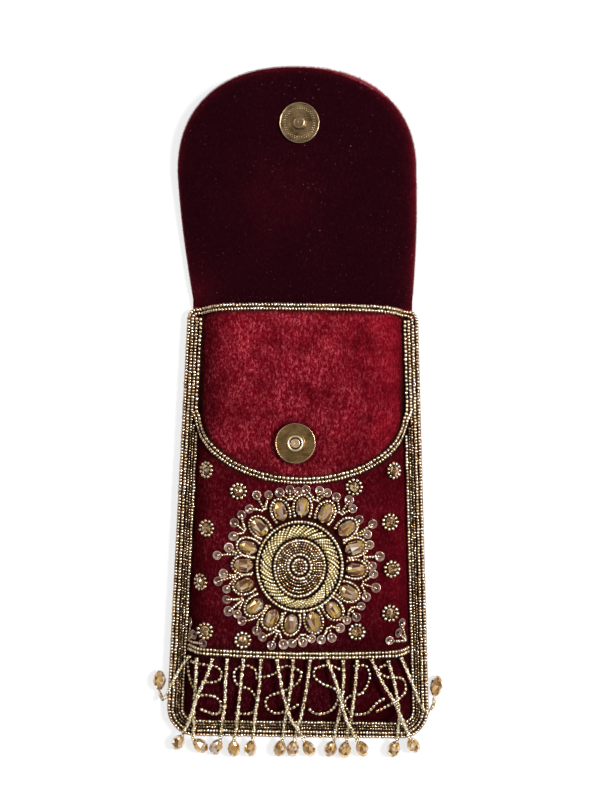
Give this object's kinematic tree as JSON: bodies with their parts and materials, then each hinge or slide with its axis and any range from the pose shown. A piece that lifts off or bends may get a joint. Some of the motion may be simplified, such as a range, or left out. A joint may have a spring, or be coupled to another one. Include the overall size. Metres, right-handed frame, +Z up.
{
  "type": "phone pouch",
  "caption": "Beaded velvet phone pouch lying open: padded pocket, round flap with magnetic snap, bead borders, sun medallion and bead fringe with crystal drops",
  "frame": {"origin": "middle of the back panel's underside, on the surface the pouch lies on", "axes": "+X the pouch's right side as it is looked down on, +Y from the foot up to the flap, +Z up out of the front"},
  "size_m": [0.132, 0.3132, 0.0187],
  "materials": {
    "velvet": "velvet pile",
    "dark_velvet": "velvet pile",
    "satin": "satin weave",
    "gold_beads": "metallic lined seed beads",
    "bronze_beads": "bronze seed beads",
    "bullion": "metallic bullion thread",
    "crystal": "faceted, iridescent",
    "brass": "antique satin",
    "magnet": "matt"
  },
  "bodies": {
    "root": {"front_panel": "velvet", "back_panel_and_flap": "velvet", "flap_facing": "dark_velvet", "pocket_lining": "satin", "body_snap_case": "brass", "flap_snap_plate": "brass", "flap_snap_stud": "brass", "body_snap_prongs": "brass", "body_snap_washer": "brass", "body_snap_base_and_core": "brass", "body_snap_magnet": "magnet", "flap_snap_prongs": "brass", "flap_snap_washer": "brass", "edge_bead_row": "gold_beads", "second_bead_row": "gold_beads", "inner_bead_row": "gold_beads", "scallop_outer_row": "gold_beads", "scallop_inner_row": "gold_beads", "band_upper_row": "gold_beads", "band_lower_row": "gold_beads", "sun_outer_ring": "gold_beads", "sun_inner_ring": "gold_beads", "sun_heart_ring": "gold_beads", "sun_petal_row": "gold_beads", "outer_bronze_row": "bronze_beads", "inner_bronze_row": "bronze_beads", "sun_bronze_field": "bronze_beads", "sun_heart": "bronze_beads", "sun_bullion_ring": "bullion", "fringe_strand_a": "gold_beads", "fringe_strand_b": "gold_beads", "fringe_strand_c": "gold_beads", "fringe_strand_d": "gold_beads", "fringe_strand_e": "gold_beads", "fringe_strand_f": "gold_beads", "fringe_strand_g": "gold_beads", "fringe_strand_h": "gold_beads", "fringe_strand_i": "gold_beads", "fringe_strand_j": "gold_beads", "fringe_strand_k": "gold_beads", "fringe_strand_l": "gold_beads", "fringe_strand_m": "gold_beads", "fringe_strand_n": "gold_beads", "fringe_strand_o": "gold_beads", "fringe_drop_a": "crystal", "fringe_drop_b": "crystal", "fringe_drop_c": "crystal", "fringe_drop_d": "crystal", "fringe_drop_e": "crystal", "fringe_drop_f": "crystal", "fringe_drop_g": "crystal", "fringe_drop_h": "crystal", "fringe_drop_i": "crystal", "fringe_drop_j": "crystal", "fringe_drop_k": "crystal", "fringe_drop_l": "crystal", "fringe_drop_m": "crystal", "fringe_drop_n": "crystal", "fringe_drop_o": "crystal"}
  },
  "joints": []
}
